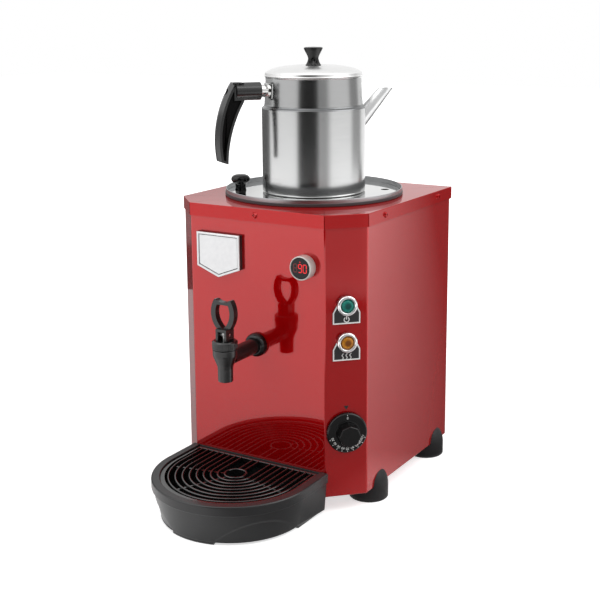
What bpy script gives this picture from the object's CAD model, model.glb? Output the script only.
# Hot water urn with a teapot on its lid. Everything is worked in millimetres and set down
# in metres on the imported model: x to the right, y to the back, z up from the counter.
import math

import bmesh
import bpy
from mathutils import Matrix, Vector


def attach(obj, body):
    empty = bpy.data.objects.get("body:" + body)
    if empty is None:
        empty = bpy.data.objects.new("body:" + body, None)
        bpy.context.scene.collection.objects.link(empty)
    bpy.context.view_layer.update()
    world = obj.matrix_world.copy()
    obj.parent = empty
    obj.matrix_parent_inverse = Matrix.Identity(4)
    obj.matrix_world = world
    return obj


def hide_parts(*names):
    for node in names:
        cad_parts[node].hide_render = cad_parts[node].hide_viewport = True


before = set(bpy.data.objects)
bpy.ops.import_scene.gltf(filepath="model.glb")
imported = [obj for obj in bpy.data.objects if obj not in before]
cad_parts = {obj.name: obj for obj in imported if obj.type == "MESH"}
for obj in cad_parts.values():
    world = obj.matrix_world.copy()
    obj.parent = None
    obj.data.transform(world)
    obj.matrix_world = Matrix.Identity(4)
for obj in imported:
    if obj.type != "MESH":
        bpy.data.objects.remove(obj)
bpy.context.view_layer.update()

# ---------- Camera ----------
# A long lens at table height and a step to the right of the urn. Its small downward
# shift frames the whole urn, from the knob of the pot to the foot of the tray.
FOCAL_PER_WIDTH = 1133.2 / 600
CAMERA_PLACE = Vector((0.6199, -0.98225, 0.5002))
CAMERA_TURN, CAMERA_DIP, CAMERA_ROLL = 31.52, 11.50, -0.44


def set_out(name, data):
    """Puts an object into the scene."""
    thing = bpy.data.objects.new(name, data)
    bpy.context.scene.collection.objects.link(thing)
    return thing


def shift(x, y, z):
    """A shift along the three axes."""
    return Matrix.Translation((x, y, z))


def turned(degrees, axis="Z"):
    """A turn about one axis."""
    return Matrix.Rotation(math.radians(degrees), 4, axis)


camera = bpy.data.cameras.new("camera")
camera.sensor_width = 36
camera.lens = FOCAL_PER_WIDTH * camera.sensor_width
camera.shift_y = -0.1
stand = set_out("camera", camera)
stand.matrix_world = (Matrix.Translation(CAMERA_PLACE) @ turned(CAMERA_TURN)
                      @ turned(90 - CAMERA_DIP, "X") @ turned(CAMERA_ROLL))
bpy.context.scene.camera = stand
bpy.context.scene.view_settings.view_transform = "Standard"


# ---------- Studio ----------
# A pale sweep of floor, three large soft boxes, an even white surround, and dark cards that
# stand round the urn or lie on the table, to give bright metal and gloss their dark streaks.
class Wire:
    """One output of a node, for sums that are written as plain Python. A bar between two
    takes the larger."""

    def __init__(self, finish, socket):
        self.finish = finish
        self.socket = socket

    def worked(self, operation, first, second):
        return self.finish.node("ShaderNodeMath", {"operation": operation}, {0: first, 1: second})

    def __add__(self, other):
        return self.worked("ADD", self, other)

    def __sub__(self, other):
        return self.worked("SUBTRACT", self, other)

    def __rsub__(self, other):
        return self.worked("SUBTRACT", other, self)

    def __mul__(self, other):
        return self.worked("MULTIPLY", self, other)

    def __or__(self, other):
        return self.worked("MAXIMUM", self, other)

    def __abs__(self):
        return self.finish.node("ShaderNodeMath", {"operation": "ABSOLUTE"}, {0: self})

    __radd__ = __add__
    __rmul__ = __mul__


class Finish:
    """The nodes of one material, or of the world."""

    def __init__(self, name, tree=None):
        if tree is None:
            self.material = bpy.data.materials.new(name)
            self.material.use_nodes = True
            tree = self.material.node_tree
        self.tree = tree
        self.tree.nodes.clear()

    def node(self, kind, settings=None, inputs=None, out=0):
        """A node of any kind. Its settings or a ramp's stops come first, then its sockets."""
        made = self.tree.nodes.new(kind)
        for key, value in (settings or {}).items():
            if key == "stops":
                ramp = made.color_ramp
                while len(ramp.elements) < len(value):
                    ramp.elements.new(1.0)
                for stop, (place, colour) in zip(ramp.elements, value):
                    stop.position = place
                    stop.color = colour
            else:
                setattr(made, key, value)
        for key, value in (inputs or {}).items():
            if isinstance(value, Wire):
                self.tree.links.new(value.socket, made.inputs[key])
            else:
                made.inputs[key].default_value = value
        return Wire(self, made.outputs[out]) if len(made.outputs) else None

    def place(self, stretch=(1, 1, 1)):
        """Object coordinates, in metres, stretched."""
        where = self.node("ShaderNodeTexCoord", out="Object")
        return self.node("ShaderNodeMapping", {}, {"Vector": where, "Scale": stretch})

    def cloud(self, scale, detail=2.0, stretch=(1, 1, 1), roughness=0.5):
        """Soft noise. A long stretch draws it out into lines."""
        return self.node("ShaderNodeTexNoise", {}, {
            "Vector": self.place(stretch), "Scale": scale, "Detail": detail,
            "Roughness": roughness})

    def ramp(self, wire, *stops):
        """Greys along a wire, each stop given as its place and its value."""
        return self.node("ShaderNodeValToRGB", {
            "stops": [(at, (v, v, v, 1)) for at, v in stops]}, {"Fac": wire})

    def tint(self, share, first, second):
        """Two colours mixed by a share."""
        return self.node("ShaderNodeMix", {"data_type": "RGBA"},
                         {0: share, 6: first, 7: second}, out=2)

    def surface(self, base, rough, metal=0.0, height=None, depth=0.0001, **more):
        """The closing shader, with a relief from a height."""
        sockets = {"Base Color": base, "Roughness": rough, "Metallic": metal}
        if height is not None:
            sockets["Normal"] = self.node("ShaderNodeBump", {}, {
                "Strength": 1.0, "Distance": depth, "Height": height})
        sockets.update({key.replace("_", " "): value for key, value in more.items()})
        shader = self.node("ShaderNodeBsdfPrincipled", {}, sockets)
        self.node("ShaderNodeOutputMaterial", {}, {"Surface": shader})
        return self.material


def ink(red, green, blue):
    """A colour given in the steps of a screen, 0 to 255."""
    def light(step):
        share = step / 255
        return share / 12.92 if share <= 0.04045 else ((share + 0.055) / 1.055) ** 2.4
    return light(red), light(green), light(blue), 1.0


WHITE = (1.0, 1.0, 1.0, 1.0)
SURROUND_FILL = 0.4

world = bpy.data.worlds.new("studio")
bpy.context.scene.world = world
world.use_nodes = True
air = Finish("studio", world.node_tree)


def seen(finish):
    """One for a camera ray, a mirror ray or a ray through glass, else nought."""
    direct, mirrored, through = [
        finish.node("ShaderNodeLightPath", out=name)
        for name in ("Is Camera Ray", "Is Glossy Ray", "Is Transmission Ray")]
    return direct | mirrored | through


air_light = air.node("ShaderNodeBackground", {}, {
    "Color": WHITE, "Strength": SURROUND_FILL + (1.0 - SURROUND_FILL) * seen(air)})
air.node("ShaderNodeOutputWorld", {}, {"Surface": air_light})

AIM = Vector((0.0, 0.0, 0.2))


def lamp(name, size, watts, azimuth, elevation, distance):
    """A soft box that faces the urn. Azimuth runs to the right from straight in front."""
    turn, rise = math.radians(azimuth), math.radians(elevation)
    out = Vector((math.sin(turn) * math.cos(rise), -math.cos(turn) * math.cos(rise),
                  math.sin(rise)))
    light = bpy.data.lights.new(name, "AREA")
    light.shape = "RECTANGLE"
    light.size, light.size_y = size
    light.energy = watts
    set_out(name, light).matrix_world = Matrix.Translation(AIM + out * distance) @ (
        out.to_track_quat("Z", "Y").to_matrix().to_4x4())


lamp("front_box", (2.4, 2.2), watts=25, azimuth=-42, elevation=46, distance=2.2)
lamp("side_box", (2.0, 2.0), watts=32, azimuth=112, elevation=42, distance=2.3)
lamp("top_box", (1.6, 1.6), watts=6, azimuth=20, elevation=86, distance=2.0)


def modelled(name, shape):
    """Sets a finished bmesh out as an object."""
    data = bpy.data.meshes.new(name)
    shape.to_mesh(data)
    shape.free()
    return set_out(name, data)


# The paper glows evenly far out, and less near the urn, where its shadow falls
FLOOR_SIZE, FLOOR_SCALE = 12.0, 0.25
PAPER_DARK, PAPER_LIGHT = (0.86, 0.86, 0.86, 1), (0.9, 0.9, 0.9, 1)
floor_mesh = bmesh.new()
bmesh.ops.create_grid(floor_mesh, x_segments=8, y_segments=8, size=FLOOR_SIZE / 2)
floor = modelled("floor", floor_mesh)
sweep = Finish("floor_paper")
paper = sweep.node("ShaderNodeBsdfDiffuse", {}, {
    "Color": sweep.tint(sweep.cloud(3.0), PAPER_DARK, PAPER_LIGHT), "Roughness": 0.4})
off_middle = sweep.node("ShaderNodeVectorMath", {"operation": "LENGTH"}, {
    0: sweep.place((FLOOR_SCALE, FLOOR_SCALE, FLOOR_SCALE))}, out=1)
far_off = sweep.ramp(off_middle, (0.08, 0.58), (0.4, 1.0))
glow = sweep.node("ShaderNodeEmission", {}, {"Color": far_off * seen(sweep), "Strength": 1.0})
sweep.node("ShaderNodeOutputMaterial", {}, {
    "Surface": sweep.node("ShaderNodeAddShader", {}, {0: paper, 1: glow})})
floor.data.materials.append(sweep.material)

FELT_DARK, FELT_LIGHT = (0.015, 0.015, 0.015, 1), (0.03, 0.03, 0.03, 1)
UP = (0.0, 0.0, 1.0)


def card(name, middle, facing, size, depth, soft, turn=0.0):
    """A dark card that only mirrors see. It fades out over a share of its width and height."""
    made = bmesh.new()
    bmesh.ops.create_grid(made, x_segments=1, y_segments=1, size=0.5)
    flag = modelled(name, made)
    flag.matrix_world = (
        Matrix.Translation(middle)
        @ Vector(facing).to_track_quat("Z", "Y").to_matrix().to_4x4()
        @ turned(turn) @ Matrix.Diagonal((*size, 1, 1)))
    felt = Finish(name)
    across = felt.node("ShaderNodeSeparateXYZ", {}, {0: felt.place()}).socket.node
    share = depth
    for axis, fade in enumerate(soft):
        off = abs(Wire(felt, across.outputs[axis]))
        share = share * felt.ramp(off, (0.5 - fade, 1), (0.5, 0))
    dark = felt.node("ShaderNodeBsdfDiffuse", {}, {
        "Color": felt.tint(felt.cloud(60), FELT_DARK, FELT_LIGHT)})
    felt.node("ShaderNodeOutputMaterial", {}, {"Surface": felt.node("ShaderNodeMixShader", {}, {
        0: share, 1: felt.node("ShaderNodeBsdfTransparent"), 2: dark})})
    flag.data.materials.append(felt.material)
    flag.visible_camera = False
    flag.visible_diffuse = False
    flag.visible_shadow = False
    flag.visible_transmission = False


# Each card's middle, the way it faces, its size, its depth of tone, its soft edge, its turn
card("camera_card", (0.46, -1.30, 0.50), (-0.32, 0.95, 0.0), (1.35, 1.60), 1.0, (0.1, 0.1))
card("corner_card", (0.72, -0.48, 0.30), (-0.83, 0.55, 0.0), (0.5, 1.0), 0.6, (0.3, 0.3))
card("rear_card", (0.62, 0.75, 0.37), (-0.64, -0.76, 0.0), (0.70, 0.38), 0.6, (0.2, 0.1))
card("left_card", (-0.82, 0.36, 0.14), (0.89, -0.45, 0.0), (1.15, 0.72), 0.9, (0.06, 0.25))
card("rear_table", (0.406, 1.244, 0.003), UP, (0.84, 2.50), 0.94, (0.28, 0.05), -26.0)
card("front_table", (0.45, -0.26, 0.004), UP, (0.90, 0.60), 0.75, (0.1, 0.2))
card("left_table", (-0.60, 0.32, 0.003), UP, (1.10, 0.95), 0.75, (0.1, 0.1))

# ---------- Housing ----------
# One sheet of steel is folded round the front, the two cut corners and the sides, with
# flanges turned in at the back and the bottom, and is painted in a deep red enamel.
BODY_W, BODY_D, CUT = 222.0, 225.0, 31.0
BASE_Z, WRAP_TOP, COVER_TOP = 16.0, 305.0, 306.0
SHEET_T, FOLD_R = 1.0, 1.3
REAR_LIP, BASE_LIP = 12.0, 22.0
FRONT_Y = -56.75
FRONT = Matrix.Diagonal((0.001, 0.001, 0.001, 1)) @ shift(0, FRONT_Y, 0)


def plan(grow, back):
    """The housing's outline, grown all round, up to a rear edge."""
    half, leg = BODY_W / 2 + grow, CUT + grow * (2 - math.sqrt(2))
    return [(leg - half, -grow), (half - leg, -grow), (half, leg - grow), (half, back),
            (-half, back), (-half, leg - grow)]


def points_in(made):
    """The vertices among what an operator has made."""
    return [g for g in made["geom"] if isinstance(g, bmesh.types.BMVert)]


def rounded(shape, edges, width, segments=2, **more):
    """Rounds edges off."""
    bmesh.ops.bevel(shape, geom=edges, offset=width, segments=segments, profile=0.5,
                    affect="EDGES", material=-1, **more)


def inset(shape, face, width, depth=0.0, **more):
    """Draws a face in from its edges, and returns the band this leaves round it."""
    return bmesh.ops.inset_region(shape, faces=[face], thickness=width, depth=depth,
                                  use_even_offset=True, **more)["faces"]


def filled(shape, edges):
    """Fills a flat outline, except for the holes in it."""
    bmesh.ops.triangle_fill(shape, edges=edges, use_beauty=True, use_dissolve=False,
                            normal=(0, 0, 1))


def finished(name, shape, finish, body, nodes, at=Matrix.Identity(4), crease=38):
    """Sets a shape down on its body, with round faces shaded smooth up to the crease angle."""
    bmesh.ops.transform(shape, matrix=FRONT @ at, verts=shape.verts)
    for face in shape.faces:
        face.smooth = True
    for edge in shape.edges:
        edge.smooth = len(edge.link_faces) == 2 and edge.calc_face_angle(0) < math.radians(crease)
    piece = modelled(name, shape)
    piece.data.materials.append(finish)
    piece.modifiers.new("true_flats", "WEIGHTED_NORMAL").keep_sharp = True
    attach(piece, body)
    if nodes:
        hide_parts(*nodes)
    return piece


def walled(piece, thickness):
    """Gives a sheet its thickness, inwards, before its flats are trued."""
    wall = piece.modifiers.new("wall", "SOLIDIFY")
    wall.thickness = thickness / 1000
    wall.offset = -1
    wall.use_even_offset = True
    piece.modifiers.move(1, 0)


def enamel(name, coat):
    """Deep red stoving enamel with a slight peel and some dust, under its own gloss."""
    red = Finish(name)
    peel = red.cloud(900, 2) * 0.6 + red.cloud(90, 2) * 0.4
    dust = red.ramp(red.cloud(420, 3, roughness=0.7), (0.0, 0), (0.66, 0), (0.78, 1))
    return red.surface(
        red.tint(red.cloud(14, 4), ink(166, 2, 5), ink(176, 4, 8)),
        0.1 + 0.05 * red.cloud(30, 3) + 0.1 * dust, 0.4, peel, 0.000012,
        Coat_Weight=coat, Coat_Roughness=0.015, Coat_IOR=1.5, Specular_IOR_Level=0.0)


red_enamel = enamel("red_enamel", 1.0)
wrap = bmesh.new()
sole = wrap.faces.new([wrap.verts.new((x, y, BASE_Z)) for x, y in plan(0, BODY_D - SHEET_T)])
raised = bmesh.ops.extrude_face_region(wrap, geom=[sole])
bmesh.ops.translate(wrap, vec=(0, 0, WRAP_TOP - BASE_Z), verts=points_in(raised))
bmesh.ops.delete(wrap, geom=[g for g in raised["geom"] if isinstance(g, bmesh.types.BMFace)],
                 context="FACES_ONLY")
bmesh.ops.recalc_face_normals(wrap, faces=wrap.faces)
rounded(wrap, [e for e in wrap.edges if len(e.link_faces) == 2], FOLD_R, 4)
wrap.faces.ensure_lookup_table()
for side, lip in ((Vector((0, 1, 0)), REAR_LIP), (Vector((0, 0, -1)), BASE_LIP)):
    flat = max((f for f in wrap.faces if f.normal.dot(side) > 0.999), key=lambda f: f.calc_area())
    inset(wrap, flat, lip)
    bmesh.ops.delete(wrap, geom=[flat], context="FACES_ONLY")
walled(finished("painted_wrap", wrap, red_enamel, "housing", ["housing_wrap"],
                crease=50), SHEET_T)

# ---------- Cover ----------
# A flat lid of the same sheet. Its skirt is folded down on each side by itself, so a slit
# stays open at every corner, and painted screws hold it to the wrap.
SKIRT_H, COVER_OUT, SLIT, COVER_FOLD = 13.2, 1.2, 0.8, 0.6
BOILER_Y, MOUTH_R = 115.0, 84.5
cover = bmesh.new()
outline = [Vector((x, y, COVER_TOP)) for x, y in plan(COVER_OUT, BODY_D + COVER_OUT)]
rim = []
for here, before, after in zip(outline, outline[-1:] + outline[:-1], outline[1:] + outline[:1]):
    rim.append(cover.verts.new(here + (before - here).normalized() * SLIT / 2))
    rim.append(cover.verts.new(here + (after - here).normalized() * SLIT / 2))
edges = [cover.edges.new((a, b)) for a, b in zip(rim, rim[1:] + rim[:1])]
long_edges = edges[1::2]
hole = bmesh.ops.create_circle(cover, segments=96, radius=MOUTH_R,
                               matrix=shift(0, BOILER_Y, COVER_TOP))["verts"]
filled(cover, edges + [e for e in cover.edges if e.verts[0] in hole])
hung = bmesh.ops.extrude_edge_only(cover, edges=long_edges)
bmesh.ops.translate(cover, vec=(0, 0, -SKIRT_H), verts=points_in(hung))
bmesh.ops.recalc_face_normals(cover, faces=cover.faces)
rounded(cover, long_edges, COVER_FOLD, 4)
cover_enamel = enamel("cover_enamel", 0.6)
walled(finished("folded_cover", cover, cover_enamel, "housing", ["top_cover"],
                crease=50), SHEET_T)


def clothe(finish, *nodes):
    """Gives solids that keep their own shape a finish."""
    for node in nodes:
        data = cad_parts[node].data
        data.materials.clear()
        data.materials.append(finish)


clothe(cover_enamel, "cover_screws")
clothe(red_enamel, "rear_panel")


# ---------- Fittings inside ----------
# The hidden steel, brass, copper, felt, rubber and moulded pieces keep the shape of their
# solids and get plain workshop finishes.
def grained(name, first, second, rough, spread, scale, detail=3, stretch=(1, 1, 1), metal=1.0,
            depth=0.00001, **more):
    """A finish whose shade, gloss and relief all follow one cloud."""
    finish = Finish(name)
    cloud = finish.cloud(scale, detail, stretch)
    return finish.surface(finish.tint(cloud, first, second), rough + spread * cloud, metal,
                          cloud, depth, **more)


zinc = Finish("galvanised_steel")
spangle = zinc.node("ShaderNodeTexVoronoi", {}, {"Vector": zinc.place(), "Scale": 90.0})
zinc_steel = zinc.surface(zinc.tint(spangle, ink(178, 180, 182), ink(140, 143, 148)),
                          0.32 + 0.2 * spangle, 1.0, zinc.cloud(300), 0.00002)
clothe(zinc_steel, "base_pan", "tank_stand", "panel_screws", "foot_screws", "thermostat_screws")

tank_steel = grained("spun_tank_steel", ink(200, 200, 198), ink(168, 168, 168), 0.22, 0.2, 8,
                     stretch=(1, 1, 60), depth=0.00004)
clothe(tank_steel, "boiler_tank", "immersion_heater", "thermostat_spindle", "lid_knob_screw",
       "tap_stem", "tap_pin", "tap_spring", "handle_screw")

felt = Finish("mineral_felt")
fibre = felt.cloud(260, 5, (1, 1, 3), 0.7)
felt_wool = felt.surface(felt.tint(fibre, ink(196, 182, 140), ink(158, 142, 100)),
                         0.95, 0.0, fibre, 0.0012)
clothe(felt_wool, "tank_jacket")

brass_metal = grained("turned_brass", ink(200, 166, 96), ink(164, 128, 66), 0.24, 0.16, 40, 2,
                      stretch=(1, 1, 20), depth=0.00003)
clothe(brass_metal, "heater_nut", "tap_locknut")

copper_metal = grained("drawn_copper", ink(196, 120, 84), ink(150, 84, 58), 0.26, 0.2, 70,
                       depth=0.00003)
clothe(copper_metal, "thermostat_bulb")

ceramic_white = grained("steatite", ink(232, 226, 208), ink(212, 204, 182), 0.5, 0.2, 120, 4,
                        metal=0.0, depth=0.0001)
clothe(ceramic_white, "terminal_block", "tap_seat_cup")


def moulded(name, dark, light, rough, grain=700.0, depth=0.00004, **more):
    """Black mouldings: a fine spark grain, and a slow change of shade and gloss."""
    finish = Finish(name)
    slow = finish.cloud(26, 3)
    fine = finish.cloud(grain, 3, roughness=0.65)
    scuff = finish.ramp(finish.cloud(150, 4, (1, 1, 0.3)), (0.0, 0), (0.6, 0), (0.82, 1))
    return finish.surface(finish.tint(slow * 0.7 + fine * 0.3, dark, light),
                          rough + 0.1 * slow - 0.05 * scuff, 0.0, fine, depth, **more)


nylon = moulded("black_nylon", ink(30, 30, 31), ink(44, 44, 45), 0.42)
clothe(nylon, "overheat_cutout", "thermostat_body", "heater_gasket", "tap_washer", "gland_nut",
       "cable_gland", "thermometer_nut", "lamp_nuts")

# ---------- Feet ----------
# Four turned feet of soft black plastic. The housing's lower edge sits in a step cut into
# each, and the rest of the foot stands up outside the side panel as a rounded horn.
foot_black = moulded("foot_plastic", ink(16, 16, 17), ink(25, 24, 25), 0.5, 500.0, 0.00005,
                     Specular_IOR_Level=0.3)
clothe(foot_black, "front_left_foot", "front_right_foot", "rear_left_foot", "rear_right_foot")


# ---------- Boiler lid ----------
# A pan of bright steel with an upright band for a rim. The disc inside is polished like a
# mirror, with a steam hole at one side and a hole for the knob's screw at the other.
def spun(profile, steps=128, closed=True, turn=360.0):
    """A section of (radius, height, fillet) points spun round z. A fillet of nought is sharp."""
    shape = bmesh.new()
    dots = [shape.verts.new((r, 0, z)) for r, z, _ in profile]
    for here, after in zip(dots, dots[1:]):
        shape.edges.new((here, after))
    if closed:
        shape.edges.new((dots[-1], dots[0]))
    for size in sorted({f for _, _, f in profile if f}):
        corner = [dot for dot, (_, _, f) in zip(dots, profile) if f == size and dot.is_valid]
        bmesh.ops.bevel(shape, geom=corner, offset=size, segments=3 + int(size), profile=0.5,
                        affect="VERTICES", material=-1)
    bmesh.ops.spin(shape, geom=shape.verts[:] + shape.edges[:], cent=(0, 0, 0), axis=(0, 0, 1),
                   angle=math.radians(turn), steps=steps, use_merge=turn == 360.0)
    bmesh.ops.remove_doubles(shape, verts=shape.verts, dist=0.001)
    bmesh.ops.recalc_face_normals(shape, faces=shape.faces)
    return shape


def spot(turn, out, z=0.0):
    """A place that lies out from the middle, in the direction of a turn."""
    return turned(turn) @ shift(out, 0, z)


PLATE_Z, LID_R, BAND_IN = 308.4, 94.8, 93.2
STEAM_HOLE, KNOB_HOLE = (34, 77.0), (207, 79.6)
on_plate = shift(0, BOILER_Y, PLATE_Z)

band_steel = grained("band_steel", ink(150, 151, 153), ink(170, 171, 172), 0.3, 0.1, 30, 2,
                     stretch=(1, 1, 40), depth=0.00002, Anisotropic=0.4)
finished("lid_band", spun([(BAND_IN, -1, 0), (LID_R, -1, 0.7), (LID_R, 5, 0.35),
                           (LID_R - 1, 5, 0.35), (LID_R - 1, 0, 0), (BAND_IN, 0, 0)]),
         band_steel, "boiler_lid", ["boiler_lid"], on_plate)

disc = bmesh.new()
bmesh.ops.create_circle(disc, segments=128, radius=93.6)
for place, hole_r in ((STEAM_HOLE, 4.5), (KNOB_HOLE, 1.6)):
    bmesh.ops.create_circle(disc, segments=32, radius=hole_r, matrix=spot(*place))
filled(disc, disc.edges)
mirror = Finish("mirror_steel")
swirl = mirror.cloud(60, 4)
haze = mirror.cloud(9, 3)
mirror_steel = mirror.surface(mirror.tint(haze, ink(222, 222, 220), ink(206, 207, 208)),
                              0.035 + 0.03 * haze, 1.0, swirl, 0.000008)
walled(finished("lid_disc", disc, mirror_steel, "boiler_lid", (), on_plate), 1.0)

# ---------- Lid seal ----------
# A dark rubber ring with an upturned lip. It goes round the lid's band, closes the gap to
# the cover, and shows as a line under the band.
SEAL_R, SEAL_LIP_R = 95.5, 94.85
rubber = moulded("seal_rubber", ink(54, 56, 58), ink(66, 68, 70), 0.45, 500.0, 0.00003)
finished("seal_ring", spun([(88.8, 0, 0), (SEAL_R, 0, 0.8), (SEAL_R, 3.5, 0.5),
                            (SEAL_LIP_R, 3.5, 0), (SEAL_LIP_R, 1.4, 0), (88.8, 1.4, 0)]),
         rubber, "boiler_lid", ["lid_seal"], shift(0, BOILER_Y, COVER_TOP))

# ---------- Lid knob ----------
# A turned mushroom of black bakelite near the lid's left edge, screwed on from below.
# Its waist keeps the fingers off the hot lid.
bakelite = moulded("black_bakelite", ink(7, 7, 8), ink(13, 13, 13), 0.1, 420.0, 0.000008,
                   Specular_IOR_Level=0.25)
finished("lid_knob_cap", spun([
    (0, 0, 0), (6.2, 0, 0.4), (5.5, 3, 1), (5.8, 7.4, 1.5), (9.2, 9.3, 1.2),
    (10.6, 11.9, 1.6), (9.6, 15.4, 2.2), (5.4, 17.4, 2.0), (0, 17.5, 0)], 64),
    bakelite, "boiler_lid", ["lid_knob"], on_plate @ spot(*KNOB_HOLE))

# ---------- Teapot ----------
# The pot is drawn from brushed steel: a straight body, a rolled step at the shoulder, whose
# crease is darker than the rest, and a tapering neck with a beaded edge.
POT_TURN, POT_R, POT_T = 231.4, 55.2, 0.8
STEP_Z = PLATE_Z + 91.3
on_pot = on_plate @ turned(POT_TURN)
brushed = Finish("brushed_steel")
hair = brushed.cloud(26, 3, (1, 1, 90), 0.6)
fine_hair = brushed.cloud(60, 2, (1, 1, 60))
smear = brushed.cloud(16, 3)
# In centimetres, so that the stops of the ramp lie between nought and one
pot_height = brushed.node("ShaderNodeSeparateXYZ", {}, {0: brushed.place((100, 100, 100))}, out=2)
on_step = brushed.ramp(abs(pot_height - STEP_Z / 10), (0.12, 1), (0.24, 0))
clean_steel = brushed.tint(hair * 0.7 + smear * 0.3, ink(190, 190, 189), ink(168, 169, 170))
brushed_steel = brushed.surface(
    brushed.tint(on_step, clean_steel, ink(104, 105, 106)),
    0.13 + 0.08 * hair + 0.04 * smear, 1.0, hair * 0.6 + fine_hair * 0.4, 0.000012, Anisotropic=0.5)
finished("pot_body", spun([
    (0, 0.4, 0), (46, 0.4, 2), (50, 0, 1), (POT_R, 0, 2.6), (POT_R, 90.2, 1.0), (52.7, 92.0, 0.8),
    (52.3, 94.5, 0), (50.7, 121.3, 0), (51.3, 121.9, 0.3), (51.3, 122.9, 0.3), (49.9, 122.9, 0.3),
    (51.5, 92.5, 1), (54.4, 88.0, 1.5), (54.4, 0.8, 7), (0, 0.8, 0)], 160, closed=False),
    brushed_steel, "teapot", ["teapot_body"], on_pot, 30)

# ---------- Spout ----------
# A spout of satin steel, round but pinched a little towards a diamond. It is wide where it
# is welded into the pot's side, narrows towards the mouth, and is cut off level there.
SPOUT_SLOPE, SPOUT_BASE_H, SPOUT_TIP_H = 47.6, 75.9, 107.5
ROOT_W, TIP_W = 8.8, 6.4
SPOUT_IN, SPOUT_OVER = 4.0, 12.0
PINCH_ACROSS, PINCH_UP, PINCH = 1.55, 1.8, 1.7
spout_len = (SPOUT_TIP_H - SPOUT_BASE_H) / math.sin(math.radians(SPOUT_SLOPE))
spout_steel = grained("spout_steel", ink(208, 208, 207), ink(190, 191, 192), 0.27, 0.06, 90,
                      stretch=(1, 1, 0.4), depth=0.000012)
spout = bmesh.new()
bmesh.ops.create_circle(spout, segments=48, radius=1.0)
far_ring = bmesh.ops.extrude_edge_only(spout, edges=spout.edges[:])
bmesh.ops.translate(spout, vec=(0, 0, 1), verts=points_in(far_ring))
bmesh.ops.subdivide_edges(
    spout, edges=[e for e in spout.edges if abs(e.verts[0].co.z - e.verts[1].co.z) > 0.5],
    cuts=14, use_grid_fill=True)
for v in spout.verts:
    along = v.co.z * (SPOUT_IN + spout_len + SPOUT_OVER) - SPOUT_IN
    wide = ROOT_W + (TIP_W - ROOT_W) * along / spout_len
    turn = math.atan2(v.co.y, v.co.x)
    keen = abs(math.cos(turn)) ** PINCH_ACROSS + abs(math.sin(turn)) ** PINCH_UP
    reach = wide / keen ** (1 / PINCH)
    v.co = (reach * math.cos(turn), reach * math.sin(turn), along)
bmesh.ops.transform(spout, verts=spout.verts, matrix=(
    turned(180) @ shift(POT_R, 0, SPOUT_BASE_H) @ turned(90 - SPOUT_SLOPE, "Y")))
bmesh.ops.bisect_plane(spout, geom=spout.verts[:] + spout.edges[:] + spout.faces[:],
                       plane_co=(0, 0, SPOUT_TIP_H), plane_no=(0, 0, 1), clear_outer=True)
bmesh.ops.recalc_face_normals(spout, faces=spout.faces)
walled(finished("pot_spout", spout, spout_steel, "teapot", ["teapot_spout"],
                on_pot, 24), POT_T)

# ---------- Teapot handle ----------
# A hanging grip of black bakelite on a polished cast bracket that is welded to the neck. The
# grip's flat flanks are hollowed out and matt inside.
HOLLOW_RIM, HOLLOW_SIDE, HOLLOW_DEPTH, FLANK_AREA = 2.6, 0.7, 1.6, 500
WELD, CRUMB, FLAT_BEND, SHARP_BEND = 0.003, 0.002, math.radians(0.6), math.radians(28)


def softened(node, width, segments=2, hollow=None):
    """A solid's own shape in millimetres from the front panel, with its edges rounded off.
    Its flat flanks can be hollowed out, and the hollow then takes the second finish."""
    shape = bmesh.new()
    shape.from_mesh(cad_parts[node].data)
    bmesh.ops.transform(shape, matrix=FRONT.inverted(), verts=shape.verts)
    bmesh.ops.remove_doubles(shape, verts=shape.verts, dist=WELD)
    bmesh.ops.dissolve_degenerate(shape, edges=shape.edges, dist=CRUMB)
    bmesh.ops.dissolve_limit(shape, angle_limit=FLAT_BEND, verts=shape.verts, edges=shape.edges)
    for flank in [f for f in shape.faces if hollow and abs(f.normal.dot(hollow)) > 0.999
                  and f.calc_area() > FLANK_AREA]:
        inset(shape, flank, HOLLOW_RIM)
        for face in [flank, *inset(shape, flank, HOLLOW_SIDE, -HOLLOW_DEPTH)]:
            face.material_index = 1
    keen = [e for e in shape.edges if len(e.link_faces) == 2 and e.calc_face_angle(0) > SHARP_BEND
            and not any(f.material_index for f in e.link_faces)]
    rounded(shape, keen, width, segments, offset_type="OFFSET", clamp_overlap=True)
    return shape


polished_metal = grained("polished_casting", ink(226, 226, 224), ink(206, 206, 206), 0.08, 0.05,
                         160)
finished("pot_bracket", softened("handle_bracket", 0.35), polished_metal, "teapot",
         ["handle_bracket"])
matt_black = moulded("matt_black", ink(3, 3, 3), ink(7, 7, 7), 0.6, 300.0, 0.00002,
                     Specular_IOR_Level=0.1)
grip_gloss = moulded("grip_bakelite", ink(9, 9, 10), ink(16, 16, 16), 0.16, 420.0, 0.000008,
                     Specular_IOR_Level=0.6)
across_pot = Vector((-math.sin(math.radians(POT_TURN)), math.cos(math.radians(POT_TURN)), 0))
finished("pot_handle", softened("teapot_handle", 0.6, hollow=across_pot), grip_gloss, "teapot",
         ["teapot_handle"]).data.materials.append(matt_black)

# ---------- Teapot lid ----------
# A lid spun from satin steel: a rim that drops into the neck, a thin flared brim, a full
# dome, and a shallow dip under the knob.
DOME_H, BRIM_R, LID_EDGE, LID_T = 10.8, 52.4, 0.8, 0.8
DIP, DIP_R, DIP_FADE = 1.5, 9, 13
POT_LID_Z, DOME_STEPS = 123.0, 22


def dome(r):
    """The height of the dome over the neck's edge at a radius."""
    dip = DIP * (1 + math.cos(math.pi * min(1, max(0, (r - DIP_R) / DIP_FADE)))) / 2
    return LID_EDGE + DOME_H * math.sqrt(max(0.0, 1 - (r / BRIM_R) ** 2.8)) - dip


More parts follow.
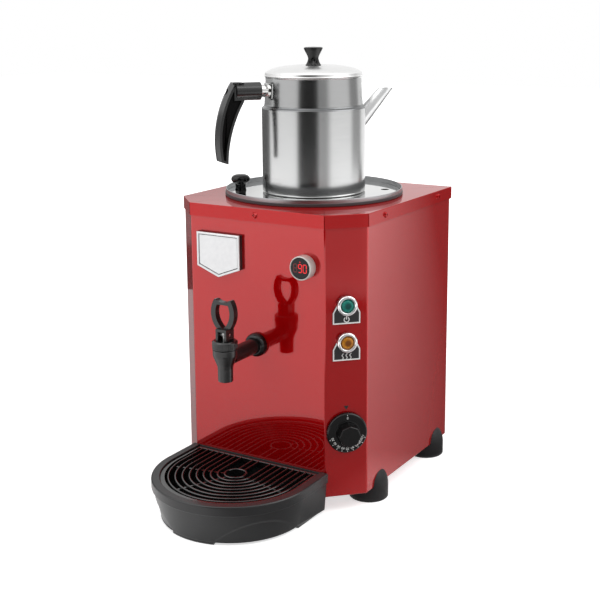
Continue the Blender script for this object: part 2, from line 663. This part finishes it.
radii = [BRIM_R * math.cos(math.radians(90 * i / DOME_STEPS)) for i in range(1, DOME_STEPS + 1)]
satin_steel = grained("satin_steel", ink(234, 234, 233), ink(224, 224, 224), 0.26, 0.08, 120, 2)
finished("pot_lid", spun(
    [(49.3, -7, 0), (49.3, 0.2, 0), (51.9, 0.1, 0), (BRIM_R, 0.5, 0.2), (BRIM_R - 0.4, 0.95, 0.2),
     (BRIM_R - 0.9, 1.15, 0)]
    + [(r, dome(r), 0) for r in radii if r < BRIM_R - 1] + [(0, dome(0) - LID_T, 0)]
    + [(r * 0.985, dome(r) - LID_T, 0) for r in reversed(radii) if 1 < r < 49]
    + [(48.5, 0.2, 0), (48.5, -7, 0)], 160),
    satin_steel, "teapot_lid", ["teapot_lid"],
    on_pot @ shift(0, 0, POT_LID_Z), 30)

# ---------- Teapot knob ----------
# A bakelite knob with a narrow waist that sits in the lid's dip. Shallow flutes run round
# its foot.
POT_KNOB_Z = 133.1
FLUTES, FLUTE_LOW, FLUTE_H, FLUTE_SWELL = 16, 0.5, 7, 0.07
knob = spun([(0, 0.15, 0), (8.2, 0.15, 0.2), (8.2, 1.0, 0.4), (6.6, 2.8, 1.2),
             (5.2, 6.2, 2.5), (5.9, 10.2, 3), (9.4, 16.6, 1.5), (10.3, 18.8, 0.5),
             (9.1, 19.8, 0.8), (0, 20.3, 0)], 96)
for v in knob.verts:
    up = (v.co.z - FLUTE_LOW) / FLUTE_H
    if 0 < up < 1:
        turn = math.atan2(v.co.y, v.co.x)
        swell = 1 + FLUTE_SWELL * math.cos(FLUTES * turn) * math.sin(math.pi * up)
        v.co.x *= swell
        v.co.y *= swell
finished("pot_knob", knob, bakelite, "teapot_lid", ["teapot_knob"],
         on_pot @ shift(0, 0, POT_KNOB_Z))

# ---------- Tap ----------
# A self-closing tap moulded in black nylon: nozzle, cone and collar in one with the shank,
# a ribbed bonnet, a loop of a handle, and a shiny domed nut against the panel.
TAP_OUT, TAP_Z, NOZZLE_Z = 56.5, 165.5, 142.7
on_front = turned(90, "X")


def moved(shape, matrix):
    """A shape in another place."""
    bmesh.ops.transform(shape, matrix=matrix, verts=shape.verts)
    return shape


def joined(*shapes):
    """Several shapes as one."""
    whole = shapes[0]
    for extra in shapes[1:]:
        data = bpy.data.meshes.new("part")
        extra.to_mesh(data)
        extra.free()
        whole.from_mesh(data)
        bpy.data.meshes.remove(data)
    return whole


tap_black = moulded("tap_nylon", ink(16, 15, 15), ink(26, 25, 25), 0.2, 800.0, 0.00001,
                    Specular_IOR_Level=0.5)
tap_upright = spun([(4.4, 0, 0.3), (7.4, 0, 0.6), (7.6, 15, 2), (12.2, 26.3, 1.5),
                    (12.2, 33.0, 0.6), (10, 33.4, 0.4), (10, 41, 0.3), (8.4, 41, 0.3),
                    (8.4, 19.3, 0), (4.4, 19.3, 0)], 96)
tap_shank = spun([(3.4, 9, 0), (8, 9, 0), (8, 84.5, 0.6), (3.4, 84.5, 0.4)], 96)
moved(tap_upright, shift(0, -TAP_OUT, NOZZLE_Z))
moved(tap_shank, shift(0, -TAP_OUT, TAP_Z) @ on_front.inverted())
finished("tap_spigot", joined(tap_upright, tap_shank), tap_black, "housing", ["tap_body"])
finished("tap_cap", softened("tap_bonnet", 0.2), tap_black, "housing", ["tap_bonnet"])
finished("tap_grip", softened("tap_handle", 1.1, 3), tap_black, "tap_lever", ["tap_handle"])
shiny_bakelite = moulded("nut_bakelite", ink(12, 11, 12), ink(22, 21, 21), 0.12, 300.0, 0.00001,
                         Specular_IOR_Level=0.3)
finished("tap_collar_nut", spun([(8.1, 0, 0), (12.3, 0, 0.4), (12.3, 3.2, 1.2), (11.4, 6.0, 1.6),
                                 (9.6, 8.0, 1.2), (8.1, 8.0, 0.4)], 96),
         shiny_bakelite, "housing", ["tap_flange_nut"],
         shift(0, 0, TAP_Z) @ on_front)

# ---------- Lamps ----------
# Two signal lamps on the cut corner: chrome bezels, ribbed lenses, green over amber, and
# black name plates with a white edge that show a mains mark and a heat mark.
CUT_X, CUT_Y = (BODY_W - CUT) / 2, CUT / 2
PLATE_T, PRINT_T, EDGE_W = 1.2, 0.1, 1.3
MARK_T, MARK_DOWN = 0.12, 0.11
TAB = ((-14, -19), (14, -19), (14, -7.5), (10, 0), (7, 7.2), (-7, 7.2), (-10, 0), (-14, -7.5))
LAMPS = (("heating", 162.5, "amber_lens", ink(214, 140, 26), ink(84, 38, 2)),
         ("power", 199.9, "green_lens", ink(20, 150, 132), ink(0, 44, 46)))


def on_cut(height):
    """A place on the right cut corner, with z pointing out of it."""
    return shift(CUT_X, CUT_Y, BASE_Z + height) @ turned(45) @ on_front


def lens_finish(name, height, bright, deep):
    """Ribbed glass, dark in the middle, bright at its edge and faintly lit."""
    finish = Finish(name)
    middle = (CUT_X / 1000, (CUT_Y + FRONT_Y) / 1000, (BASE_Z + height) / 1000)
    off = finish.node("ShaderNodeVectorMath", {"operation": "DISTANCE"},
                      {0: finish.place(), 1: middle}, out=1)
    edge = finish.ramp(off * 100, (0.72, 0.0), (0.785, 1.0))
    facets = finish.node("ShaderNodeTexVoronoi", {"feature": "F1"}, {
        "Vector": finish.place(), "Scale": 520.0})
    fleck = finish.cloud(170)
    share = (facets * 0.5 + fleck * 0.6) * (0.1 + 0.9 * edge)
    return finish.surface(
        finish.tint(share, deep, bright), 0.12 + 0.1 * fleck, 0.0, facets, 0.0002,
        Specular_IOR_Level=0.3, Emission_Color=finish.tint(facets, bright, deep),
        Emission_Strength=0.08)


def sheet(points):
    """A flat shape with a given outline."""
    shape = bmesh.new()
    shape.faces.new([shape.verts.new(point) for point in points])
    return shape


def pushed(shape, way):
    """A flat shape with its thickness added along a way."""
    grown = bmesh.ops.extrude_face_region(shape, geom=shape.faces[:])
    bmesh.ops.translate(shape, vec=way, verts=points_in(grown))
    bmesh.ops.recalc_face_normals(shape, faces=shape.faces)
    return shape


def block(place, *size):
    """A box of a given size."""
    made = bmesh.new()
    bmesh.ops.create_cube(made, size=1.0, matrix=place @ Matrix.Diagonal((*size, 1)))
    return made


def bar(ax, ay, bx, by, wide, high):
    """A flat bar between two points of a panel."""
    run = Vector((bx - ax, by - ay))
    return block(shift((ax + bx) / 2, (ay + by) / 2, high / 2)
                 @ Matrix.Rotation(math.atan2(run.y, run.x), 4, "Z"),
                 run.length + wide * 0.6, wide, high)


bezel_chrome = grained("bezel_chrome", ink(232, 232, 232), ink(214, 215, 216), 0.12, 0.06, 200,
                       metal=0.9)
plate_black = moulded("plate_enamel", ink(22, 22, 24), ink(34, 34, 36), 0.32, 500.0, 0.00001)
white_print = grained("white_print", ink(240, 240, 238), ink(222, 222, 220), 0.5, 0.1, 300,
                      metal=0.0)

# The mains mark is a bar in an open ring, the heat mark three waves that rise side by side
ring = moved(spun([(2.1, 0, 0), (3.0, 0, 0), (3.0, MARK_T, 0), (2.1, MARK_T, 0)], 28, turn=290.0),
             shift(0, -14.6, 0) @ turned(125))
waves = []
for x in (-4, 0, 4):
    wave = [(x + 0.7 * math.sin(i * math.pi / 3), -17.2 + i * 0.75) for i in range(8)]
    waves += [bar(ax, ay, bx, by, 0.8, MARK_T) for (ax, ay), (bx, by) in zip(wave, wave[1:])]
marks = {"power": [bar(0, -11.3, 0, -14.2, 0.9, MARK_T), ring], "heating": waves}

for lamp_name, lamp_h, lens_slot, bright, deep in LAMPS:
    there = on_cut(lamp_h)
    finished(f"{lamp_name}_bezel", spun([
        (6.1, 1.3, 0), (8.1, 1.3, 0), (8.1, -26, 0), (8.0, -26, 0), (8.0, 0, 0), (8.0, PLATE_T, 0),
        (10.2, PLATE_T, 0.2), (10.2, 5.0, 0.5), (9.2, 6.4, 0.9), (7.4, 6.2, 0.5), (6.3, 4.4, 0.3),
        (6.1, 3.4, 0)], 96),
        bezel_chrome, "housing", [f"{lamp_name}_lamp_body"], there)
    finished(f"{lamp_name}_glass", spun([
        (0, -4, 0), (6, -4, 0), (6, 5.2, 0.5), (4.6, 6.6, 0.6), (0, 7.1, 0)], 64),
        lens_finish(lens_slot, lamp_h, bright, deep), "housing", [f"{lamp_name}_lamp_lens"],
        there)
    tab = pushed(sheet([(x, y, 0) for x, y in TAB]), (0, 0, PLATE_T - PRINT_T))
    finished(f"{lamp_name}_tab", tab, plate_black, "housing", [f"{lamp_name}_name_plate"],
             there)
    edge = sheet([(x, y, PLATE_T - PRINT_T) for x, y in TAB])
    edge.normal_update()
    (inner,) = edge.faces
    inset(edge, inner, EDGE_W, use_boundary=True)
    bmesh.ops.delete(edge, geom=[inner], context="FACES_ONLY")
    finished(f"{lamp_name}_edge_line", pushed(edge, (0, 0, PRINT_T)), white_print, "housing", (),
             there)
    finished(f"{lamp_name}_mark", joined(*marks[lamp_name]), white_print, "housing", (),
             there @ shift(0, 0, PLATE_T - MARK_DOWN))

# ---------- Thermometer ----------
# A round panel thermometer: a pale moulded case, a smoked window, and three red digits
# behind it, each of seven bars, the first of them unlit.
GAUGE_X, GAUGE_H = 58.0, 237.2
DIGIT_W, DIGIT_H, DIGIT_GAP, DIGIT_BAR = 3.6, 4.0, 0.14, 0.85
on_gauge = shift(GAUGE_X, 0, BASE_Z + GAUGE_H) @ on_front
pale_case = grained("pale_case", ink(214, 211, 206), ink(196, 193, 188), 0.3, 0.1, 400,
                    metal=0.35, depth=0.00002)
finished("gauge_case", spun([(0, -22, 0), (10.4, -22, 0), (10.4, 0, 0), (12.1, 0, 0),
                             (12.1, 10, 0.9), (10.9, 10, 0.3), (10.7, 8.1, 0), (0, 8.1, 0)], 96),
         pale_case, "housing", ["thermometer_body"], on_gauge)
smoked = moulded("smoked_window", ink(8, 7, 9), ink(14, 12, 14), 0.1, 200.0, 0.000005,
                 Specular_IOR_Level=0.25)
finished("gauge_window", spun([(0, 8.1, 0), (10.7, 8.1, 0), (10.7, 9.55, 0.2), (0, 9.6, 0)], 96),
         smoked, "housing", ["thermometer_window"], on_gauge)


def led(name, colour, glow):
    """Red light behind the window, in fine specks."""
    finish = Finish(name)
    speck = finish.cloud(900)
    return finish.surface(
        finish.tint(speck, colour, ink(90, 0, 4)), 0.3 + 0.1 * speck,
        Emission_Color=finish.tint(speck, colour, ink(200, 16, 20)), Emission_Strength=glow)


# Each bar's two ends, in widths and half heights of a digit, and the bars of each digit
BARS = {"a": (0, 2, 1, 2), "b": (1, 1, 1, 2), "c": (1, 0, 1, 1), "d": (0, 0, 1, 0),
        "e": (0, 0, 0, 1), "f": (0, 1, 0, 2), "g": (0, 1, 1, 1)}
DIGITS = {"8": "abcdefg", "9": "abcdfg", "0": "abcdef"}


def digit(sign, x):
    """One digit of up to seven bars, its left edge at x."""
    bars = []
    for key in DIGITS[sign]:
        ax, ay, bx, by = BARS[key]
        gap = Vector((bx - ax, by - ay)) * DIGIT_GAP
        bars.append(bar(x + (ax + gap.x) * DIGIT_W, (ay + gap.y) * DIGIT_H - DIGIT_H,
                        x + (bx - gap.x) * DIGIT_W, (by - gap.y) * DIGIT_H - DIGIT_H,
                        DIGIT_BAR, PRINT_T))
    return bars


on_window = on_gauge @ shift(0, 0, 9.56)
point = bar(-0.4, 6.2, 0.2, 6.2, 0.8, PRINT_T)
finished("gauge_digits", joined(*digit("9", -1.9), *digit("0", 3.5), point),
         led("lit_digit", ink(236, 20, 26), 0.9), "housing", (), on_window)
finished("gauge_dark_digit", joined(*digit("8", -7.3)), led("unlit_digit", ink(96, 10, 14), 0.08),
         "housing", (), on_window)

# ---------- Badge ----------
# A thick shield of plated metal, glued to the front panel, with dark sides and a groove
# inside its bevelled edge. Its face is left bare.
BADGE_X, BADGE_H, BADGE_T = -43.0, 261.5, 5.5
BADGE_W, BADGE_DROP, BADGE_POINT = 53.0, 45.8, 10.0
PLATED_FROM, PLATED_TO = 0.43, 0.46
half, shoulder = BADGE_W / 2, BADGE_POINT - BADGE_DROP
shield = pushed(sheet([(-half, 0, 0), (-half, shoulder, 0), (0, -BADGE_DROP, 0),
                       (half, shoulder, 0), (half, 0, 0)]), (0, 0, BADGE_T))
(top,) = [f for f in shield.faces if f.normal.z > 0.9]
rounded(shield, top.edges[:], 0.7)
top = max((f for f in shield.faces if f.normal.z > 0.9), key=lambda f: f.calc_area())
for width, step in ((1.5, 0.0), (0.5, -1.4), (0.5, 0.6)):
    inset(shield, top, width, step)
badge = Finish("badge_metal")
badge_cloud = badge.cloud(240, 3)
badge_y = badge.node("ShaderNodeSeparateXYZ", {}, {0: badge.place((100, 100, 100))}, out=1)
plated = badge.ramp(FRONT_Y / 10 - badge_y, (PLATED_FROM, 0), (PLATED_TO, 1))
plating = badge.tint(badge_cloud, ink(206, 206, 207), ink(192, 192, 193))
badge_metal = badge.surface(badge.tint(plated, ink(70, 70, 72), plating),
                            0.2 + 0.06 * badge_cloud, 0.7, badge_cloud, 0.00001)
finished("badge_shield", shield, badge_metal, "housing", ["badge_plate"],
         shift(BADGE_X, 0, BASE_Z + BADGE_H) @ on_front, 20)

# ---------- Dial ----------
# The thermostat's dial: a shiny black skirt with a toothed edge and white figures, and an
# eight-sided grip moulded on top. A printed arrow on the panel marks the setting.
DIAL_R, DIAL_GAP, DIAL_Z = 21.0, 0.6, 68.5
TEETH, TOOTH, TOOTH_FROM = 60, 0.012, 20.9
GRIP_R, GRIP_TOP_R, GRIP_Z, GRIP_H = 12.5, 11.0, 5.2, 11.0
on_dial = on_cut(DIAL_Z)
skirt = spun([(3.1, DIAL_GAP, 0), (DIAL_R, DIAL_GAP, 0), (DIAL_R, 3.4, 0), (20.4, 4.4, 0.6),
              (19.6, 5.0, 0.4), (12.6, 5.4, 0.4), (12.4, 5.6, 0), (3.1, 5.6, 0)], 240)
for v in skirt.verts:
    if v.co.xy.length > TOOTH_FROM:
        pull = 1 - TOOTH * (1 + math.cos(TEETH * math.atan2(v.co.y, v.co.x)))
        v.co.x *= pull
        v.co.y *= pull
grip = bmesh.new()
bmesh.ops.create_cone(grip, cap_ends=True, segments=8, radius1=GRIP_R, radius2=GRIP_TOP_R,
                      depth=GRIP_H, matrix=shift(0, 0, GRIP_Z + GRIP_H / 2))
rounded(grip, grip.edges[:], 0.9, 3)
finished("dial_cap", joined(skirt, grip), shiny_bakelite, "dial", ["dial_knob"],
         on_dial)


def written(words, size, matrix):
    """Flat figures cut from a thin sheet."""
    curve = bpy.data.curves.new("figures", "FONT")
    curve.body = words
    curve.size = size
    curve.align_x = "CENTER"
    curve.align_y = "CENTER"
    curve.extrude = 0.04
    curve.resolution_u = 3
    sign = set_out("figures", curve)
    bpy.context.view_layer.update()
    depsgraph = bpy.context.evaluated_depsgraph_get()
    data = bpy.data.meshes.new_from_object(sign.evaluated_get(depsgraph))
    made = bmesh.new()
    made.from_mesh(data)
    bpy.data.objects.remove(sign)
    bpy.data.curves.remove(curve)
    bpy.data.meshes.remove(data)
    return moved(made, matrix)


# Nought stands at the top, and 30 to 110 degrees run round the lower half
FIGURE_H, FIGURE_R, FIGURE_Z = 3.6, 15.9, 5.32
TICK_R, TICK_OUT_R, TICK_W, TICK_T, TICK_Z = 18.3, 19.3, 0.5, 0.08, 5.02
SCALE = [(90, "0")] + [(198 + 18 * i, str(30 + 10 * i)) for i in range(9)]
figures = []
for turn, words in SCALE:
    figures.append(written(words, FIGURE_H, spot(turn, FIGURE_R, FIGURE_Z) @ turned(-90)))
    tick = bar(TICK_R, 0, TICK_OUT_R, 0, TICK_W, TICK_T)
    figures.append(moved(tick, spot(turn, 0, TICK_Z)))
finished("dial_figures", joined(*figures), white_print, "dial", (), on_dial)

arrow = pushed(sheet([(-2.6, 27.4, 0), (0, 23.2, 0), (2.6, 27.4, 0)]), (0, 0, MARK_T))
finished("dial_arrow", arrow, plate_black, "housing", (), on_dial)

# ---------- Drip tray ----------
# A D-shaped tray of satin black plastic with a stepped lip, a leaning wall with shallow
# arches, and three pads underneath. It slides out from under the tap.
TRAY_Y, ARC_Y = -0.3, -45.0
WALL_R, WALL_TOP, WALL_FOOT, WALL_LEAN, WALL_ROWS = 82.0, 33.0, 2.6, 6.5, 26
BACK_LEAN = 4.0
wall_h = WALL_TOP - WALL_FOOT
section = [(0, 4.6, 0), (72.2, 4.6, 2), (78.8, 32.8, 0), (71.8, 32.8, 0.4), (71.8, 37, 0.3),
           (74.8, 37, 0.3), (74.8, 43, 0.9), (83.5, 43, 1.7), (83.5, WALL_TOP, 0.9),
           (WALL_R, WALL_TOP, 0.4)]
section += [(WALL_R - WALL_LEAN * i / WALL_ROWS, WALL_TOP - wall_h * i / WALL_ROWS, 0)
            for i in range(1, WALL_ROWS)]
section += [(WALL_R - WALL_LEAN, WALL_FOOT, 1.0), (0, WALL_FOOT, 0)]
tray = moved(spun(section, 180, turn=-180.0), shift(0, ARC_Y, 0))
ends = [e for e in tray.edges
        if all(abs(v.co.y - ARC_Y) < 1e-3 for v in e.verts) and len(e.link_faces) == 1]
for v in points_in(bmesh.ops.extrude_edge_only(tray, edges=ends)):
    down = max(0.0, min(1.0, (WALL_TOP - v.co.z) / wall_h)) if abs(v.co.x) > 60 else 0.0
    v.co.x += math.copysign(BACK_LEAN * down, v.co.x)
    v.co.y = TRAY_Y - 0.4
long_sides = [e for e in tray.edges if abs(e.verts[0].co.y - e.verts[1].co.y) > 40]
bmesh.ops.subdivide_edges(tray, edges=long_sides, cuts=24, use_grid_fill=True)
bmesh.ops.remove_doubles(tray, verts=tray.verts, dist=0.01)

# Two shallow arches are pressed into the wall, each round a point below the table
ARCH_TURN, ARCH_R, ARCH_DROP, ARCH_DEPTH, ARCH_SOFT = 53, 54, 30, 1.0, 1.1
for v in tray.verts:
    out = Vector((v.co.x, min(0.0, v.co.y - ARC_Y)))
    skin = WALL_R - WALL_LEAN - 2 + WALL_LEAN * (v.co.z - WALL_FOOT) / wall_h
    if v.co.z > WALL_TOP - 0.5 or v.co.z < WALL_FOOT + 0.1 or out.length < skin:
        continue
    for side in (-1, 1):
        way = Vector((side * math.sin(math.radians(ARCH_TURN)), -math.cos(math.radians(ARCH_TURN))))
        spoke = v.co.xy - Vector((0, ARC_Y))
        aside = spoke.cross(way) if spoke.dot(way) > 0 else 1e3
        deep = ARCH_R - math.hypot(aside, v.co.z + ARCH_DROP)
        if deep > 0:
            v.co.xy -= out.normalized() * min(ARCH_DEPTH, deep / ARCH_SOFT)

right_half = [(79.4, 2.8), (81.9, 33), (83.3, 33), (83.3, 42.6)]
left_half = [(-x, z) for x, z in reversed(right_half)]
rear_wall = pushed(sheet([(x, TRAY_Y - 2.0, z) for x, z in right_half + left_half]), (0, 1.9, 0))
rounded(rear_wall, rear_wall.edges[:], 0.3)
front_pad = moved(spun([(61.5, 0, 0.4), (75.0, 0, 0.8), (75.3, 2.8, 0), (61.5, 2.8, 0)], 32,
                       turn=38.0), shift(0, ARC_Y, 0) @ spot(-109, 0))
bmesh.ops.holes_fill(front_pad, edges=front_pad.edges)
PAD_X, PAD_Y, PAD_W, PAD_LONG, PAD_H = 69, 22.2, 12.5, 44, 2.8
pads = [front_pad]
for side in (-1, 1):
    pad = block(shift(side * PAD_X, ARC_Y + PAD_Y, PAD_H / 2), PAD_W, PAD_LONG, PAD_H)
    rounded(pad, pad.edges[:], 0.5)
    pads.append(pad)
tray_satin = moulded("tray_plastic", ink(27, 27, 28), ink(38, 38, 39), 0.33, 620.0, 0.00005,
                     Specular_IOR_Level=0.3, Coat_Weight=0.25, Coat_Roughness=0.12)
finished("tray_shell", joined(tray, rear_wall, *pads), tray_satin, "drip_tray", ["drip_tray"],
         crease=40)

# ---------- Grille ----------
# A grating of glossy black plastic that drops into the tray: a flat D-shaped frame, bars
# that run forward, bend round a small ring and run back, and thin ribs under them.
RING_Y, SEAT_Z, GRATE_TOP, BAR_Y = -43.0, 37.0, 41.5, -6.3
RING_R, BAR_STEP, BAR_HALF, BAR_ROUND, BAR_LAP = 11, 7.1, 1.1, 0.85, 0.3
WINDOW, FRAME_R, FRAME_Y = 71.2, 74.5, -2.1
RIB_W, RIB_H = 2.0, 2.6
grate_h = GRATE_TOP - SEAT_Z
bar_end = BAR_Y + BAR_LAP
grate = []
for i in range(9):
    r = RING_R + BAR_STEP * i
    piece = spun([(r - BAR_HALF, SEAT_Z, 0), (r - BAR_HALF, GRATE_TOP, BAR_ROUND),
                  (r + BAR_HALF, GRATE_TOP, BAR_ROUND), (r + BAR_HALF, SEAT_Z, 0)],
                 40 + 6 * i, turn=-180.0 if i else 360.0)
    if i:
        tips = [e for e in piece.edges if len(e.link_faces) == 1]
        run = bmesh.ops.extrude_edge_only(piece, edges=tips)
        bmesh.ops.translate(piece, vec=(0, bar_end - RING_Y, 0), verts=points_in(run))
        bmesh.ops.holes_fill(piece, edges=piece.edges)
        bmesh.ops.recalc_face_normals(piece, faces=piece.faces)
    grate.append(moved(piece, shift(0, RING_Y, 0)))
short_start = RING_Y + 10.2
for side in (-1, 1):
    middle = side * BAR_STEP / 2, (short_start + bar_end) / 2, (SEAT_Z + GRATE_TOP) / 2
    piece = block(Matrix.Translation(middle), 2 * BAR_HALF, bar_end - short_start, grate_h)
    ridge = [e for e in piece.edges if min(v.co.z for v in e.verts) > GRATE_TOP - 0.1
             and abs(e.verts[0].co.y - e.verts[1].co.y) > 1]
    rounded(piece, ridge, BAR_ROUND, 3)
    grate.append(piece)


def bow(radius, middle, step):
    """Points along a half circle that bulges to the front."""
    return [(radius * math.sin(math.radians(t)), middle - radius * math.cos(math.radians(t)))
            for t in range(-90, 91, step)]


frame_plate = bmesh.new()
for line in (bow(FRAME_R, ARC_Y, 3) + [(FRAME_R, FRAME_Y), (-FRAME_R, FRAME_Y)],
             bow(WINDOW, RING_Y, 2) + [(WINDOW, BAR_Y), (-WINDOW, BAR_Y)]):
    dots = [frame_plate.verts.new((x, y, SEAT_Z)) for x, y in line]
    for a, b in zip(dots, dots[1:] + dots[:1]):
        frame_plate.edges.new((a, b))
filled(frame_plate, frame_plate.edges)
pushed(frame_plate, (0, 0, grate_h))

# The frame's upper edges are rounded, and so are the window's two back corners
keen = [e for e in frame_plate.edges if len(e.link_faces) == 2 and e.calc_face_angle(0) > 1.0]
high = [e for e in keen if min(v.co.z for v in e.verts) > GRATE_TOP - 0.5]
upright = [e for e in keen if abs(e.verts[0].co.z - e.verts[1].co.z) > 1
           and abs(e.verts[0].co.x) < FRAME_R - 1]
rounded(frame_plate, high + upright, 0.5)
grate.append(frame_plate)
for turn in (-168, -116, -64, -12):
    grate.append(moved(bar(RING_R, 0, WINDOW + 0.5, 0, RIB_W, RIB_H),
                       shift(0, RING_Y, SEAT_Z) @ spot(turn, 0)))
grate_black = moulded("grille_plastic", ink(12, 12, 12), ink(20, 20, 20), 0.14, 300.0, 0.00001,
                      Specular_IOR_Level=0.5, Coat_Weight=0.4, Coat_Roughness=0.05)
finished("tray_grating", joined(*grate), grate_black, "tray_grille", ["tray_grille"])
